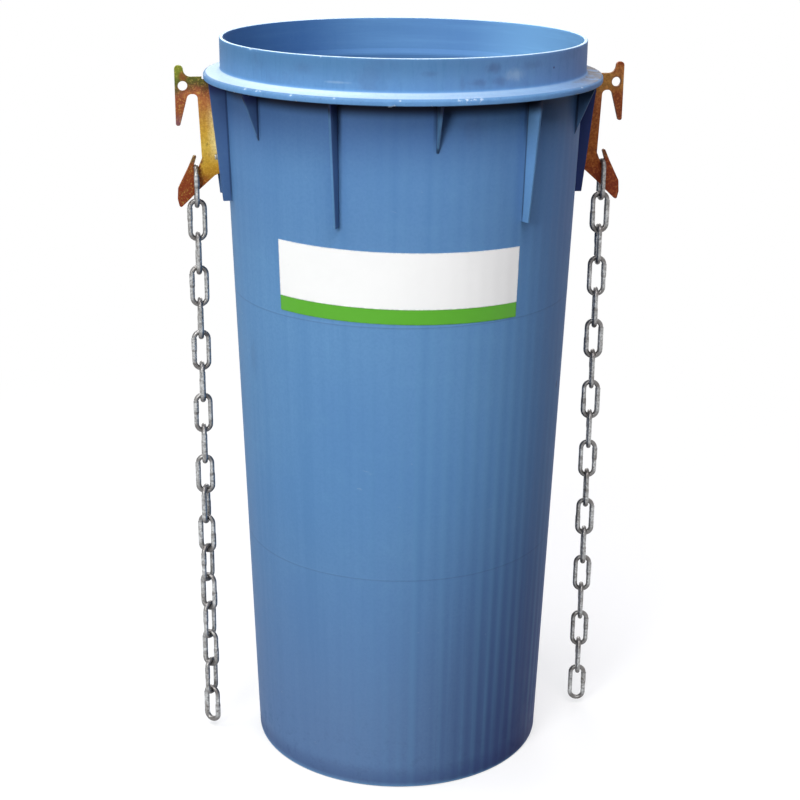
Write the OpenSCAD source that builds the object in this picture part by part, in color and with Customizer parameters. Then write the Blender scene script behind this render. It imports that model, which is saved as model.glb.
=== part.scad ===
// Rubble chute section: a tapered moulded tube with two bolted steel brackets,
// each carrying a chain that hangs down the outside of the tube.
// Millimetres. The origin is on the tube's axis, on the ground. +Z is up,
// -Y is the front, and the brackets sit on the -X and +X sides.

/* [Tube] */
// Height from the bottom edge to the top of the collar
chute_h = 1075; // [950:5:1250]
// Outside radius of the tapered wall at its bottom edge
outlet_r = 219.5; // [205:0.5:230]
// Outside radius of the tapered wall where it meets the flange
inlet_r = 254.3; // [248:0.1:262]
// Thickness of the tapered wall
wall_t = 6; // [4:0.5:8]
// Rounding of the bottom edge
foot_round = 2; // [1:0.5:2.5]

/* [Flange and collar] */
// How far the flange stands out past the tapered wall
flange_out = 27.2; // [24:0.2:32]
// Thickness of the flange at its lip
flange_t = 9; // [7:0.5:12]
// Rounding of the lip's upper edge
lip_round = 4; // [2:0.5:5]
// Rounding of the lip's lower edge
lip_under_round = 1.5; // [0.5:0.5:2]
// How much the flange's top face climbs towards the collar
flange_rise = 1.5; // [0:0.5:3]
// Height of the collar above the lip
collar_h = 48; // [36:1:60]
// How far the collar stands out past the tapered wall
collar_out = 3.7; // [2:0.1:6]
// Thickness of the collar
collar_t = 5; // [4:0.5:7]
// Rounding of the collar's top edge
rim_round = 1.5; // [0.5:0.5:1.5]
// Fillet between the flange and the collar
collar_fillet = 6; // [2:0.5:8]
// Height of the sloped step inside, between the collar and the tapered wall
inner_step_h = 7; // [5:0.5:10]

/* [Ribs] */
// Number of stations for ribs around the tube
rib_stations = 12; // [8:4:16]
// Thickness of a rib
rib_t = 4; // [3:0.5:6]
// How far the ribs stop short of the flange's edge
rib_inset = 2.5; // [1:0.5:6]
// Height of the short three-cornered ribs
short_rib_h = 65; // [50:1:80]
// Height of the long ribs
long_rib_h = 165; // [150:1:185]
// How far a long rib stands out from the wall at its cut lower end
long_rib_foot = 13.4; // [8:0.2:18]
// Angle from each bracket to the long rib on either side of it
bracket_rib_a = 6.4; // [6.2:0.1:8]
// How far the flat seat under a bracket stands out from the wall
seat_out = 1; // [0.5:0.1:2]

/* [Brackets] */
// Thickness of the bent steel plate
plate_t = 5; // [4:0.5:6]
// Distance from the chute's middle plane to the middle of the plate
plate_offset = 13; // [11:0.5:15]
// How far the chain line is from the tapered wall, at the flange's height
chain_out = 40.7; // [40:0.1:45]
// Length of the bolted leg below the flange
leg_h = 132; // [125:1:138]
// How far the bolted leg reaches past the chute's middle plane
leg_reach = 22; // [16:0.5:23]
// Inside radius of the plate's bend
bend_r = 3; // [1:0.5:4]
// Gap between the plate and the flange
flange_gap = 0.6; // [0.4:0.1:1]
// How far the plate's outer edge is past the chain line
edge_out = 26; // [25:0.5:30]
// Height of the horn's tip above the flange's underside
horn_h = 19; // [18:0.5:26]
// Width of the horn's tip
horn_w = 11.5; // [10:0.5:13]
// How far the horn's foot is wider than its tip
horn_flare = 1.7; // [0:0.1:3]
// Fillet at the foot of the horn
horn_fillet = 10; // [4:0.5:10]
// Height of the plate's top edge over the flange's underside, past the lip
shoulder_h = 3; // [2:0.5:4]
// Gap between the lip and the plate's shoulder
shoulder_gap = 1.8; // [1:0.1:3]
// Diameter of the shackle hole
hole_d = 13.4; // [10:0.1:14]
// Distance from the shackle hole to the plate's outer edge
hole_in = 10.9; // [10:0.1:12]
// Depth of the shackle hole below the flange's underside
hole_drop = 9.5; // [8:0.5:11]
// Depth of the prong's tip below the flange's underside
prong_drop = 65; // [55:1:75]
// Width of the prong's tip
prong_w = 5.8; // [5.6:0.1:8]
// Width of the prong at the top of its slot
prong_root_w = 17.8; // [16:0.2:19]
// Depth of the slot's top below the flange's underside
slot_drop = 21.1; // [20:0.1:26]
// Width of the slot at its top
slot_w = 13.3; // [13:0.1:15]
// Rounding of the slot's two upper corners
slot_round = 6.4; // [4:0.1:6.5]
// Rounding of the prong's tip
prong_round = 2.7; // [2:0.1:2.7]

/* [Chain hook] */
// Depth of the chain's seat below the flange's underside
hook_drop = 123.5; // [118:0.5:130]
// Distance from the chain line back to the plate's neck
neck_in = 9; // [8.6:0.1:10]
// Height of the neck's narrowest place above the chain's seat
neck_h = 12; // [10:0.5:14]
// Gap between the neck and the hook's tip
mouth_w = 7.4; // [7.3:0.1:8]
// Width of the hook's tip
tip_w = 4.8; // [4.6:0.1:6]
// Height of the hook's tip above the chain's seat
tip_h = 16.5; // [15:0.5:20]
// Upper corner of the arm: out from the chain line, down from the seat
arm_top = [11.2, 1]; // [0:0.1:20]
// Outer corner of the arm, out and down
arm_shoulder = [26, 30]; // [20:0.5:50]
// Lower outer corner of the arm, out and down
arm_elbow = [27, 46]; // [20:0.5:60]
// Lowest corner of the arm, out and down
arm_toe = [24, 59.5]; // [20:0.5:70]
// Corner of the lower edge over the second link, out and down
arm_heel = [7.6, 44]; // [0:0.1:50]
// Corner of the lower edge behind the chain, out and down
arm_knee = [-1.2, 35]; // [-10:0.1:50]
// Corner of the lower edge near the tube, out and down
arm_root = [-26.6, 12.6]; // [-35:0.1:40]
// Rounding of the arm's corners
arm_round = 3; // [1:0.5:4]

/* [Bolts] */
// Depths of the bolts below the flange's underside
bolt_drops = [33, 106]; // [20:1:120]
// Diameter of the bolts
bolt_d = 8; // [6:1:8]
// Distance from the chute's middle plane to the bolts
bolt_offset = 7; // [4:0.5:8]
// Diameter of the bolt's domed head
head_d = 20; // [16:0.5:22]
// Height of the bolt's domed head
head_h = 4.5; // [3:0.5:6]
// Length of the square neck under the head
square_l = 4; // [3:0.5:5]
// Diameter of the washers
washer_d = 16; // [14:0.5:17]
// Thickness of the washers
washer_t = 1.6; // [1:0.1:2]
// Width of the nuts across their flats
nut_w = 13; // [11:0.5:14]
// Height of the nuts
nut_h = 6.8; // [5:0.1:8]
// Length of thread that shows past a nut
thread_out = 4; // [2:0.5:6]
// Clearance around a bolt in its holes
bolt_gap = 0.2; // [0.1:0.1:0.4]

/* [Chains] */
// Diameter of the chain's wire
wire_d = 7; // [6:0.1:7]
// Inside length of a link
link_l = 49; // [45:0.5:52]
// Inside width of a link
link_w = 14; // [13.5:0.1:15]
// Running gap between links, and between the top link and its seat
link_gap = 0.3; // [0.2:0.05:0.5]
// Least height of the chains' lowest links above the ground
chain_clear = 6; // [2:1:40]
// How far the left chain's lower end is twisted round
left_twist = 40; // [0:1:40]
// Last link of the left chain that hangs square
left_twist_after = 9; // [1:1:12]
// How far the right chain's lower end is twisted round
right_twist = 14; // [0:1:40]
// Last link of the right chain that hangs square
right_twist_after = 1; // [1:1:12]
// Number of links over which a chain takes its twist
twist_links = 4; // [4:1:6]

/* [Label] */
// Height of the label's lower edge above the ground
label_z = 722; // [600:1:740]
// Height of the label
label_h = 99; // [80:1:105]
// Height of the label's coloured stripe
stripe_h = 21; // [10:1:40]
// Angle that the label takes up round the tube
label_a = 82; // [40:1:90]
// Angle from the front to the label's middle, negative towards -X
label_mid_a = -11.5; // [-20:0.5:20]
// Thickness of the label's film
film_t = 0.3; // [0.2:0.05:0.5]
// Glue gap between the label and the wall
glue_gap = 0.1; // [0.05:0.01:0.2]

/* [Hidden] */
// heights and radii of the tube
flange_z = chute_h - collar_h - flange_t;
lip_z = flange_z + flange_t;
flange_r = inlet_r + flange_out;
collar_r = inlet_r + collar_out;
bore_r = collar_r - collar_t;
taper = (inlet_r - outlet_r) / flange_z;
taper_a = atan(taper);
station_a = 360 / rib_stations;
// the chain line, and the seat of the top link's wire
chain_r = inlet_r + chain_out;
seat_z = flange_z - hook_drop;
// the bracket's outer edge, and its inner edge inside the bolted leg's web
edge_r = chain_r + edge_out;
web_in = plate_t + bend_r;
// the middle line of a link's wire, and the step from one link to the next
arc_r = (link_w + wire_d) / 2;
straight_l = link_l - link_w;
link_step = link_l - link_gap;
links = floor((seat_z - 2 * arc_r - straight_l - wire_d / 2 - chain_clear) / link_step) + 1;
// the round seat, low enough for the bent wire to clear the plate's two faces
notch_r = wire_d / 2 + link_gap;
notch_z = seat_z - arc_r + sqrt(pow(link_w / 2, 2) - pow(plate_t / 2, 2)) - link_gap + notch_r;
// small overlap that keeps a cut from leaving a skin
cut = 1;
// flat left in the middle of an end that is rounded from both sides
end_flat = 0.6;
// rounding of the sheared edges of the bolted leg
edge_round = 0.3;
$fn = 64;

function two_digits(n) = n < 10 ? str("0", n) : str(n);
function link_names(side) = [for (k = [1:links]) str(side, "_link_", two_digits(k))];

// outside radius of the tapered wall at a height
function wall_r(z) = outlet_r + taper * z;

function unit(v) = v / norm(v);

// points of one corner b between a and c, rounded by r
function round_corner(a, b, c, r, steps) =
    r <= 0 ? [b] :
    let (u = unit(a - b), v = unit(c - b),
         half = acos(u * v) / 2,
         mid = b + unit(u + v) * r / sin(half),
         from = b + u * r / tan(half) - mid,
         to = b + v * r / tan(half) - mid,
         start = atan2(from[1], from[0]),
         turn = atan2(from[0] * to[1] - from[1] * to[0], from * to))
    [for (i = [0:steps]) mid + r * [cos(start + turn * i / steps), sin(start + turn * i / steps)]];

// closed outline from corners given as [x, y, rounding]
function rounded(corners, steps = 6) =
    let (n = len(corners), flat = [for (p = corners) [p[0], p[1]]])
    [for (i = [0:n - 1])
        each round_corner(flat[(i + n - 1) % n], flat[i], flat[(i + 1) % n], corners[i][2], steps)];

// half section of the tube, from the bottom edge up the outside and down the inside
module tube_section() {
    polygon(rounded([
        [outlet_r - wall_t, 0, foot_round / 2],
        [outlet_r, 0, foot_round],
        [inlet_r, flange_z, foot_round],
        [flange_r, flange_z, lip_under_round],
        [flange_r, lip_z, lip_round],
        [collar_r, lip_z + flange_rise, collar_fillet],
        [collar_r, chute_h, rim_round],
        [bore_r, chute_h, rim_round],
        [bore_r, lip_z + flange_rise, rim_round],
        [inlet_r - wall_t, lip_z + flange_rise - inner_step_h, rim_round],
    ]));
}

// upright plate in a plane through the axis, at an angle from the front
module radial_plate(angle) {
    rotate([0, 0, angle - 90]) rotate([90, 0, 0])
        translate([0, 0, -rib_t / 2]) linear_extrude(rib_t) children();
}

// the three-cornered rib that tapers out to nothing
module short_rib(angle) {
    foot_z = flange_z - short_rib_h;
    radial_plate(angle) polygon([
        [wall_r(foot_z) - wall_t / 2, foot_z],
        [wall_r(foot_z), foot_z],
        [flange_r - rib_inset, flange_z],
        [flange_r - rib_inset, flange_z + flange_t / 2],
        [inlet_r - wall_t / 2, flange_z + flange_t / 2]]);
}

// the long rib, cut off square at its lower end
module long_rib(angle) {
    foot_z = flange_z - long_rib_h;
    radial_plate(angle) polygon([
        [wall_r(foot_z) - wall_t / 2, foot_z],
        [wall_r(foot_z) + long_rib_foot, foot_z],
        [flange_r - rib_inset, flange_z],
        [flange_r - rib_inset, flange_z + flange_t / 2],
        [inlet_r - wall_t / 2, flange_z + flange_t / 2]]);
}

// every third station from the front is long, starting one station off it,
// and the two bracket stations have a pair of long ribs
module ribs() {
    for (i = [0:rib_stations - 1]) {
        angle = i * station_a;
        if (i % (rib_stations / 2) == rib_stations / 4) {
            for (side = [-1, 1]) long_rib(angle + side * bracket_rib_a);
        } else if (i % (rib_stations / 2) == 1 || i % (rib_stations / 2) == rib_stations / 2 - 1) {
            long_rib(angle);
        } else {
            short_rib(angle);
        }
    }
}

// moves its children to the outside of the wall at a height on the +X side,
// with x square to the wall and z up along it
module on_wall(z) {
    translate([wall_r(z), 0, z]) rotate([0, taper_a, 0]) children();
}

// flat seat that fills the space between a bracket's two ribs
module bracket_seat() {
    half_w = wall_r(flange_z - leg_h) * sin(bracket_rib_a);
    on_wall(flange_z - leg_h) translate([-wall_t / 2, -half_w, 0])
        cube([wall_t / 2 + seat_out, 2 * half_w, leg_h - flange_gap]);
}

// places for the bolts on the +X side, their x axis pointing outwards
module at_bolts() {
    for (drop = bolt_drops) on_wall(flange_z - drop) translate([0, bolt_offset, 0]) children();
}

module bolt_holes() {
    at_bolts() rotate([0, 90, 0]) {
        translate([0, 0, -2 * wall_t]) cylinder(r = bolt_d / 2 + bolt_gap, h = 3 * wall_t + seat_out);
        translate([0, 0, -2 * wall_t]) linear_extrude(wall_t + square_l + bolt_gap)
            square(bolt_d + 2 * bolt_gap, center = true);
    }
}

// runs its children on the +X side and, turned half round, on the -X side
module both_sides() {
    for (turn = [0, 180]) rotate([0, 0, turn]) children();
}

module chute_tube() {
    color([0.30, 0.47, 0.68]) difference() {
        union() {
            rotate_extrude($fn = 180) tube_section();
            ribs();
            both_sides() bracket_seat();
        }
        both_sides() bolt_holes();
        // flat landing for the bolts' heads, inside the round wall
        both_sides() at_bolts() rotate([0, -90, 0])
            translate([0, 0, wall_t]) cylinder(d = head_d + 2 * bolt_gap, h = 2 * wall_t);
    }
}

// outline of the upright plate: x is the distance from the chute's axis
module bracket_outline() {
    top_z = flange_z - flange_gap;
    leg_z = flange_z - leg_h;
    inner = function(z) wall_r(z) + seat_out + web_in;
    arm = function(corner) [chain_r + corner[0], seat_z - corner[1]];
    prong_in = edge_r - prong_root_w;
    tip_in = chain_r - neck_in + mouth_w;
    polygon(rounded([
        // up the inside edge and out under the flange
        [inner(leg_z), leg_z, 0],
        [inner(top_z), top_z, 0],
        [flange_r + shoulder_gap, top_z, flange_gap],
        [flange_r + shoulder_gap, flange_z + shoulder_h, flange_gap],
        // the horn
        [edge_r - horn_w - horn_flare, flange_z + shoulder_h, horn_fillet],
        [edge_r - horn_w, flange_z + horn_h, (horn_w - end_flat) / 2],
        [edge_r, flange_z + horn_h, (horn_w - end_flat) / 2],
        // the prong and its slot
        [edge_r, flange_z - prong_drop, prong_round],
        [edge_r - prong_w, flange_z - prong_drop, prong_round],
        [prong_in, flange_z - slot_drop, slot_round],
        [prong_in - slot_w, flange_z - slot_drop, slot_round],
        // the neck and the way in to the chain's seat
        [chain_r - neck_in, seat_z + neck_h, notch_r],
        [chain_r - notch_r, notch_z, 0],
        [chain_r + notch_r, notch_z, 0],
        // the hook's tip
        [tip_in, seat_z + tip_h, (tip_w - end_flat) / 2],
        [tip_in + tip_w, seat_z + tip_h, (tip_w - end_flat) / 2],
        // the arm and its lower edge
        concat(arm(arm_top), 2 * arm_round),
        concat(arm(arm_shoulder), 2 * arm_round),
        concat(arm(arm_elbow), arm_round),
        concat(arm(arm_toe), arm_round),
        concat(arm(arm_heel), arm_round),
        concat(arm(arm_knee), 2 * arm_round),
        concat(arm(arm_root), arm_round),
    ]));
}

// cross-section of the bolted leg and the start of the plate, bent from one strip:
// x is out from the seat, y runs from the plate's outer face to the leg's free edge
module leg_section() {
    web_y = -plate_offset;
    polygon(rounded([
        [0, web_y - plate_t / 2, bend_r + plate_t],
        [web_in + plate_t, web_y - plate_t / 2, 0],
        [web_in + plate_t, web_y + plate_t / 2, 0],
        [plate_t, web_y + plate_t / 2, bend_r],
        [plate_t, leg_reach, edge_round],
        [0, leg_reach, edge_round]]));
}

// bracket on the +X side
module bracket() {
    leg_z = flange_z - leg_h;
    difference() {
        union() {
            translate([0, -plate_offset + plate_t / 2, 0]) rotate([90, 0, 0])
                linear_extrude(plate_t) bracket_outline();
            on_wall(leg_z) translate([seat_out, 0, 0])
                linear_extrude(leg_h - flange_gap) leg_section();
        }
        // the chain's round seat
        translate([chain_r, -plate_offset, notch_z]) rotate([90, 0, 0])
            cylinder(r = notch_r, h = plate_t + 2 * cut, center = true);
        // the shackle hole
        translate([edge_r - hole_in, -plate_offset, flange_z - hole_drop]) rotate([90, 0, 0])
            cylinder(d = hole_d, h = plate_t + 2 * cut, center = true);
        at_bolts() rotate([0, 90, 0])
            cylinder(r = bolt_d / 2 + bolt_gap, h = seat_out + plate_t + cut);
    }
}

// a domed bolt pushed out through the wall from inside, square under its head
module bolt() {
    grip = wall_t + seat_out + plate_t + washer_t + nut_h + thread_out;
    dome_r = (pow(head_d / 2, 2) + pow(head_h, 2)) / (2 * head_h);
    rotate([0, 90, 0]) translate([0, 0, -wall_t]) {
        intersection() {
            translate([0, 0, dome_r - head_h]) sphere(r = dome_r);
            translate([0, 0, -head_h]) cylinder(d = head_d, h = head_h);
        }
        translate([0, 0, square_l / 2]) cube([bolt_d, bolt_d, square_l], center = true);
        cylinder(d = bolt_d, h = grip - cut);
        translate([0, 0, grip - cut]) cylinder(d1 = bolt_d, d2 = bolt_d - cut, h = cut);
    }
}

module washer() {
    translate([seat_out + plate_t, 0, 0]) rotate([0, 90, 0]) difference() {
        cylinder(d = washer_d, h = washer_t);
        translate([0, 0, -cut]) cylinder(r = bolt_d / 2 + bolt_gap, h = washer_t + 2 * cut);
    }
}

// six-sided nut with its corners turned down on both faces
module nut() {
    corner_d = nut_w / cos(30);
    translate([seat_out + plate_t + washer_t, 0, 0]) rotate([0, 90, 0]) difference() {
        intersection() {
            cylinder(d = corner_d, h = nut_h, $fn = 6);
            cylinder(d1 = nut_w, d2 = nut_w + 2 * nut_h, h = nut_h);
            cylinder(d1 = nut_w + 2 * nut_h, d2 = nut_w, h = nut_h);
        }
        translate([0, 0, -cut]) cylinder(r = bolt_d / 2 + bolt_gap / 2, h = nut_h + 2 * cut);
    }
}

// the left side is the right side turned half round
module side(name) {
    rotate([0, 0, name == "left" ? 180 : 0]) children();
}

module brackets(name) { color([0.75, 0.58, 0.22]) side(name) bracket(); }
module bolts(name) { color([0.62, 0.62, 0.60]) side(name) at_bolts() bolt(); }
module washers(name) { color([0.70, 0.70, 0.68]) side(name) at_bolts() washer(); }
module nuts(name) { color([0.66, 0.66, 0.63]) side(name) at_bolts() nut(); }

// one welded link in the XZ plane, with the middle of its upper bend at the origin
module chain_link() {
    for (side = [-1, 1]) translate([side * arc_r, 0, -straight_l])
        cylinder(d = wire_d, h = straight_l);
    rotate([90, 0, 0]) rotate_extrude(angle = 180)
        translate([arc_r, 0]) circle(d = wire_d);
    translate([0, 0, -straight_l]) rotate([-90, 0, 0]) rotate_extrude(angle = 180)
        translate([arc_r, 0]) circle(d = wire_d);
}

// how far link k is turned by the chain's twist
function twist_at(k, total, after) = -total * max(0, min(1, (k - after) / twist_links));

// odd links hang edge-on to the front, even links face it
module hung_link(name, k) {
    twist = name == "left" ? twist_at(k, left_twist, left_twist_after)
                           : twist_at(k, right_twist, right_twist_after);
    color([0.58, 0.58, 0.55]) side(name)
        translate([chain_r, -plate_offset, seat_z - arc_r - (k - 1) * link_step])
            rotate([0, 0, twist + (k % 2 == 1 ? 90 : 0)]) chain_link();
}

// piece of thin film on the tapered wall, between two heights
module film(z0, z1) {
    rotate([0, 0, label_mid_a - label_a / 2 - 90]) rotate_extrude(angle = label_a, $fn = 180)
        polygon([
            [wall_r(z0) + glue_gap, z0],
            [wall_r(z0) + glue_gap + film_t, z0],
            [wall_r(z1) + glue_gap + film_t, z1],
            [wall_r(z1) + glue_gap, z1]]);
}

module label_sticker() { color([0.95, 0.95, 0.94]) film(label_z + stripe_h, label_z + label_h); }
module label_stripe() { color([0.33, 0.65, 0.16]) film(label_z, label_z + stripe_h); }

chute_tube();
label_sticker();
label_stripe();
for (name = ["left", "right"]) {
    brackets(name);
    bolts(name);
    washers(name);
    nuts(name);
    for (k = [1:links])
        hung_link(name, k);
}
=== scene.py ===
import math
import random
import bmesh
import bpy
from mathutils import Matrix, Vector, noise


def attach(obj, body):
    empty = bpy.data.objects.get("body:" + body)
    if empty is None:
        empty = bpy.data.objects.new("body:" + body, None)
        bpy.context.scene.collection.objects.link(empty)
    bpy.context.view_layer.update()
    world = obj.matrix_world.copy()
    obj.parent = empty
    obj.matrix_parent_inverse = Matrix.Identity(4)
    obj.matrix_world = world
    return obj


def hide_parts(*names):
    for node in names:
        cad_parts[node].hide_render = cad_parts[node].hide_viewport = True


# Rubble chute section. Every shape is modelled in millimetres and made metres in finishPiece.
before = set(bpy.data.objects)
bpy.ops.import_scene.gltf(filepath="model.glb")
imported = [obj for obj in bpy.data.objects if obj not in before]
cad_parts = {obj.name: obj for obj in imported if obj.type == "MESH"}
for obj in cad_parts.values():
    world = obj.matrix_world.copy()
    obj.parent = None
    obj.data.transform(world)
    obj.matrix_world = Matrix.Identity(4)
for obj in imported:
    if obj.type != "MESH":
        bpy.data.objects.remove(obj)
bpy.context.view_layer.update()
print("frame loaded:", len(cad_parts), "nodes")

root = "chute"
up = Vector((0, 0, 1))

# the camera stands as the photograph's did; degrees, metres and millimetres of lens
view = {"turn": -10.4, "distance": 2.350, "height": 1.333, "tilt": 18.77, "roll": 0.55, "lens": 73.9, "sensor": 36}
# each lamp: power, place, target, size, colour
light = {"key": (132, (-2.89, -3.70, 2.31), (0, 0, 0.6), 1.8, (0.98, 1.0, 0.98)),
         "tall": (62, (-1.49, -3.20, 4.14), (0, 0, 0.6), 2.6, (0.98, 1.0, 1.0)),
         "left": (23, (-1.13, 0.20, 2.59), (0, 0, 0.6), 1.0, (1.0, 0.97, 0.97)),
         "high": (21, (0.30, -1.11, 2.59), (0, 0, 0.6), 1.0, (1.0, 0.93, 0.95)),
         "warm": (3, (3.0, 1.6, 0.4), (0, 0, 0.35), 1.4, (1.0, 0.42, 0.42)),
         "back": (46, (0.66, 3.6, 2.0), (0, 0, 0.6), 1.8, (1.0, 0.99, 0.97))}
sky = {"high": 0.95, "low": 0.05, "color": (0.88, 0.91, 1.0)}
floorLook = {"size": 40, "bounce": 0.05, "white": 0.42, "lift": 0.56, "fadeFrom": 0.7, "fadeTo": 2.0}


def makeCamera():
    data = bpy.data.cameras.new("camera")
    data.lens, data.sensor_width = view["lens"], view["sensor"]
    camera = bpy.data.objects.new("camera", data)
    bpy.context.scene.collection.objects.link(camera)
    turn = math.radians(view["turn"])
    place = Vector((view["distance"] * math.sin(turn), -view["distance"] * math.cos(turn), view["height"]))
    camera.matrix_world = (Matrix.Translation(place) @ Matrix.Rotation(turn, 4, "Z")
                           @ Matrix.Rotation(math.radians(90 - view["tilt"]), 4, "X")
                           @ Matrix.Rotation(math.radians(view["roll"]), 4, "Z"))
    bpy.context.scene.camera = camera


def makeLamp(name, power, place, target, size, color):
    data = bpy.data.lights.new(name, "AREA")
    data.shape, data.size, data.energy, data.color = "DISK", size, power, color
    lamp = bpy.data.objects.new(name, data)
    bpy.context.scene.collection.objects.link(lamp)
    toward = (Vector(target) - Vector(place)).to_track_quat("-Z", "Y").to_matrix().to_4x4()
    lamp.matrix_world = Matrix.Translation(Vector(place)) @ toward


class Wire:
    # one socket of a material; sums on it add Math nodes
    def __init__(self, tree, socket=None):
        self.tree, self.socket = tree, socket

    def add(self, kind, settings=None, values=None, out=0):
        made = self.tree.nodes.new("ShaderNode" + kind)
        for key, value in (settings or {}).items():
            if key == "stops":
                ramp = made.color_ramp
                ramp.elements[0].position, ramp.elements[0].color = value[0][0], (*value[0][1], 1)
                ramp.elements[1].position, ramp.elements[1].color = value[-1][0], (*value[-1][1], 1)
                for place, color in value[1:-1]:
                    ramp.elements.new(place).color = (*color, 1)
            else:
                setattr(made, key, value)
        for key, value in (values or {}).items():
            if isinstance(value, Wire):
                self.tree.links.new(value.socket, made.inputs[key])
            else:
                made.inputs[key].default_value = value
        return Wire(self.tree, made.outputs[out])

    def sum(self, operation, first, second=0.0):
        return self.add("Math", {"operation": operation}, {0: first, 1: second})

    def __add__(self, other): return self.sum("ADD", self, other)
    def __radd__(self, other): return self.sum("ADD", other, self)
    def __sub__(self, other): return self.sum("SUBTRACT", self, other)
    def __rsub__(self, other): return self.sum("SUBTRACT", other, self)
    def __mul__(self, other): return self.sum("MULTIPLY", self, other)
    def __rmul__(self, other): return self.sum("MULTIPLY", other, self)
    def __truediv__(self, other): return self.sum("DIVIDE", self, other)
    def __rtruediv__(self, other): return self.sum("DIVIDE", other, self)
    def __neg__(self): return self.sum("MULTIPLY", self, -1.0)

    def step(self, low, high):
        # 0 below low, 1 above high, smooth between
        return self.add("MapRange", {"interpolation_type": "SMOOTHSTEP"},
                        {"Value": self, "From Min": low, "From Max": high})

    def blend(self, colorA, colorB):
        # from colour A, where this mask is 0, to colour B, where it is 1
        asColor = lambda c: c if isinstance(c, Wire) else (*c, 1)
        return self.add("Mix", {"data_type": "RGBA"}, {0: self, 6: asColor(colorA), 7: asColor(colorB)}, 2)


def newMaterial(name):
    material = bpy.data.materials.new(name)
    material.use_nodes = True
    return material, Wire(material.node_tree)


def noiseOn(wire, vector, scale, detail=3.0, rough=0.5, warp=0.0):
    return wire.add("TexNoise", {}, {"Vector": vector, "Scale": scale, "Detail": detail, "Roughness": rough,
                                     "Distortion": warp})


def stretched(wire, vector, scale):
    return wire.add("Mapping", {}, {"Vector": vector, "Scale": scale})


def linkShader(material, values, bump=None):
    # values by socket name go on the material's own Principled node
    tree = material.node_tree
    shader = tree.nodes["Principled BSDF"]
    for key, value in values.items():
        if isinstance(value, Wire):
            tree.links.new(value.socket, shader.inputs[key])
        elif isinstance(value, tuple):
            shader.inputs[key].default_value = (*value, 1)
        else:
            shader.inputs[key].default_value = value
    if bump:
        height, distance = bump
        node = Wire(tree).add("Bump", {}, {"Height": height, "Distance": distance, "Strength": 1.0})
        tree.links.new(node.socket, shader.inputs["Normal"])


def srgb(red, green, blue):
    # screen colour 0 to 255 as the linear numbers that shaders use
    return tuple((c / 255 / 12.92) if c <= 10 else ((c / 255 + 0.055) / 1.055) ** 2.4 for c in (red, green, blue))


def tonesOf(look):
    # the colours of a piece's dictionary, ready for shaders
    return {key: srgb(*value) for key, value in look.items() if isinstance(value, tuple)}


def floorMaterial():
    # white to the camera, with the object's shadow on it, and dim to the light that bounces
    material, wire = newMaterial("floor")
    tree = material.node_tree
    tree.nodes.remove(tree.nodes["Principled BSDF"])
    rays = wire.add("LightPath")
    seen = wire.sum("MAXIMUM", rays, Wire(tree, rays.socket.node.outputs["Is Glossy Ray"]))
    place = wire.add("TexCoord", {}, {}, 3)
    away = wire.add("VectorMath", {"operation": "LENGTH"}, {0: place}, 1).step(
        floorLook["fadeFrom"], floorLook["fadeTo"])
    lit = wire.add("BsdfDiffuse", {}, {"Color": (*[floorLook["white"]] * 3, 1)})
    glow = wire.add("Emission", {}, {"Color": (1, 1, 1, 1), "Strength": floorLook["lift"]})
    near = wire.add("AddShader", {}, {0: lit, 1: glow})
    plain = wire.add("Emission", {}, {"Color": (1, 1, 1, 1), "Strength": 1.0})
    shown = wire.add("MixShader", {}, {0: away, 1: near, 2: plain})
    bounced = wire.add("BsdfDiffuse", {}, {"Color": (*[floorLook["bounce"]] * 3, 1)})
    final = wire.add("MixShader", {}, {0: seen, 1: bounced, 2: shown})
    tree.links.new(final.socket, tree.nodes["Material Output"].inputs["Surface"])
    return material


def makeFloor():
    bm = bmesh.new()
    bmesh.ops.create_grid(bm, x_segments=8, y_segments=8, size=floorLook["size"] / 2)
    mesh = bpy.data.meshes.new("floor")
    bm.to_mesh(mesh)
    bm.free()
    mesh.materials.append(floorMaterial())
    floor = bpy.data.objects.new("floor", mesh)
    floor.matrix_world = Matrix.Translation((0, 0, -0.0005))
    bpy.context.scene.collection.objects.link(floor)


def makeWorld():
    world = bpy.data.worlds.new("sky")
    bpy.context.scene.world = world
    world.use_nodes = True
    tree = world.node_tree
    wire = Wire(tree)
    rays = wire.add("LightPath")
    outs = rays.socket.node.outputs
    seen = wire.sum("MAXIMUM", wire.sum("MAXIMUM", rays, Wire(tree, outs["Is Glossy Ray"])),
                    Wire(tree, outs["Is Transmission Ray"]))
    height = wire.add("SeparateXYZ", {}, {0: wire.add("TexCoord")}, 2)
    glow = sky["low"] + height.step(0.3, 1.0) * (sky["high"] - sky["low"])
    dome = wire.add("Background", {}, {"Color": (*sky["color"], 1), "Strength": glow})
    white = wire.add("Background", {}, {"Color": (1, 1, 1, 1), "Strength": 1.0})
    final = wire.add("MixShader", {}, {0: seen, 1: dome, 2: white})
    tree.links.new(final.socket, tree.nodes["World Output"].inputs["Surface"])


# rounded corners of an outline: mm of arc for each segment, and the fewest and most segments
rounds = {"arc": 0.8, "fewest": 3, "most": 10}


def outlineFace(corners):
    # one face in the XZ plane from corners (x, z, rounding), rounded by bevelling its vertices
    bm = bmesh.new()
    verts = [bm.verts.new((x, 0, z)) for x, z, rounding in corners]
    bm.faces.new(verts)
    count = len(corners)
    for i, (x, z, rounding) in enumerate(corners):
        if rounding <= 0:
            continue
        here = Vector((x, z))
        before = Vector(corners[i - 1][:2]) - here
        after = Vector(corners[(i + 1) % count][:2]) - here
        half = before.angle(after) / 2
        steps = max(rounds["fewest"], round((math.pi - 2 * half) * rounding / rounds["arc"]))
        bmesh.ops.bevel(bm, geom=[verts[i]], offset=rounding / math.tan(half), offset_type="OFFSET",
                        segments=min(steps, rounds["most"]), profile=0.5, affect="VERTICES", material=-1)
    return bm


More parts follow.
